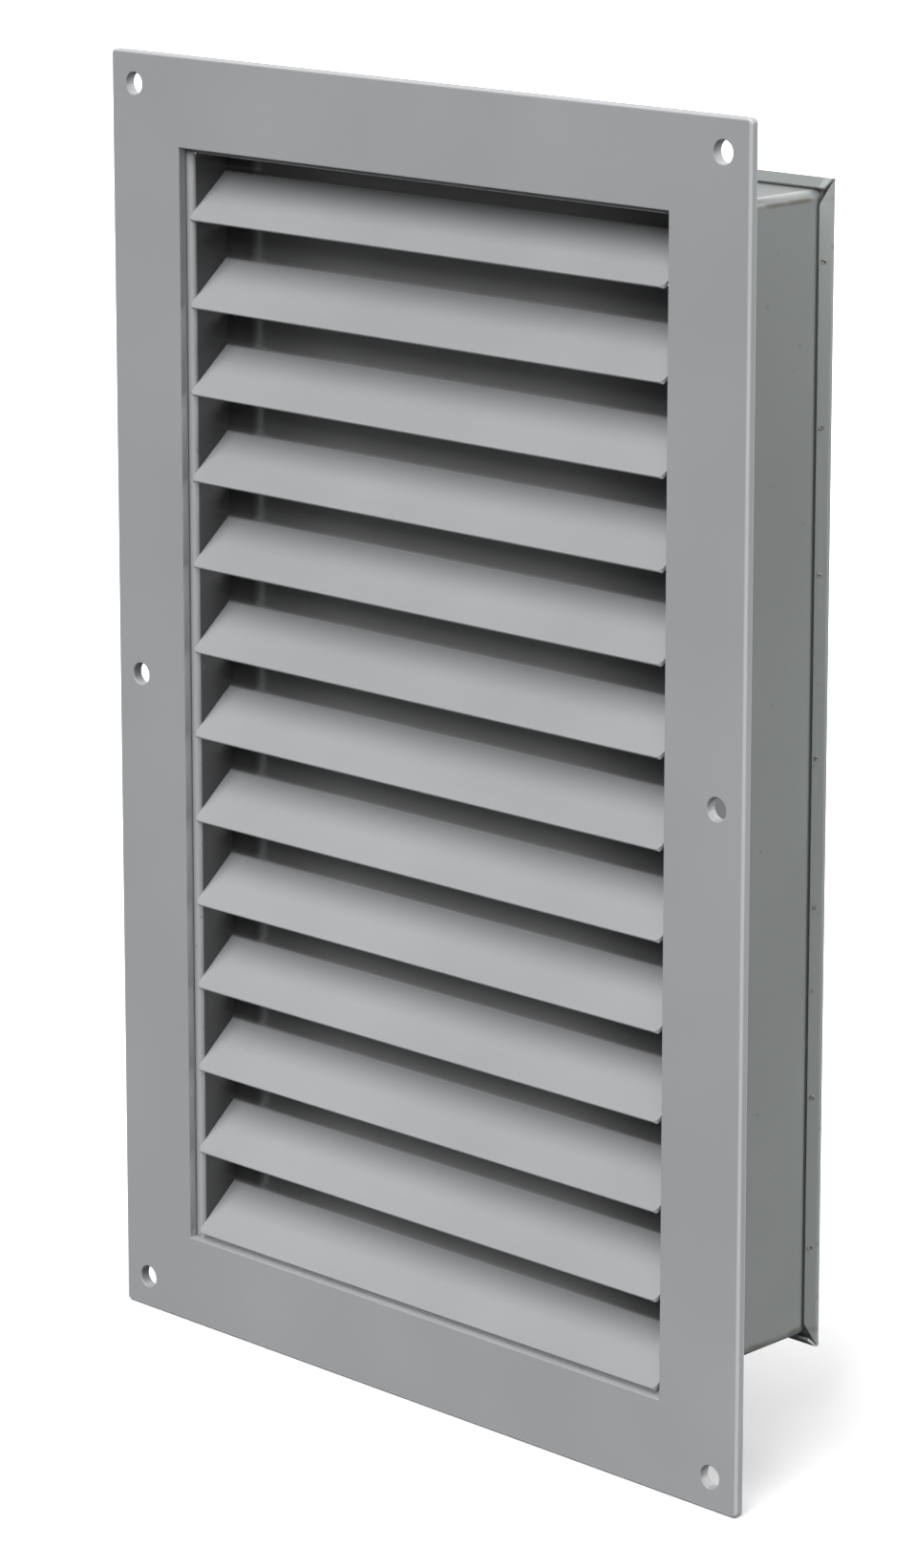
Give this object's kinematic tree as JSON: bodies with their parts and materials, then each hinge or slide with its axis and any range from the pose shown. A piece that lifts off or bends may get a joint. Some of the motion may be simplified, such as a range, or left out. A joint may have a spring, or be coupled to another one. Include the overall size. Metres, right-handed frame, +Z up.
{
  "type": "return air grille",
  "caption": "Upright rectangular return air grille with a flat screw-fixed face plate, folded fixed blades across its opening and a shallow hemmed sheet sleeve behind it.",
  "frame": {"origin": "centre of the face plate's back, at the middle of the corner screw holes", "axes": "+Z up, -Y towards the room, +Y back into the duct, X across the width"},
  "size_m": [0.32, 0.0877, 0.5],
  "materials": {
    "plate_paint": "satin grey",
    "sleeve_paint": "satin grey",
    "blade_paint": "semi-gloss grey"
  },
  "bodies": {
    "root": {"face_plate": "plate_paint", "duct_sleeve": "sleeve_paint", "blade_01": "blade_paint", "blade_02": "blade_paint", "blade_03": "blade_paint", "blade_04": "blade_paint", "blade_05": "blade_paint", "blade_06": "blade_paint", "blade_07": "blade_paint", "blade_08": "blade_paint", "blade_09": "blade_paint", "blade_10": "blade_paint", "blade_11": "blade_paint", "blade_12": "blade_paint", "blade_13": "blade_paint"}
  },
  "joints": []
}
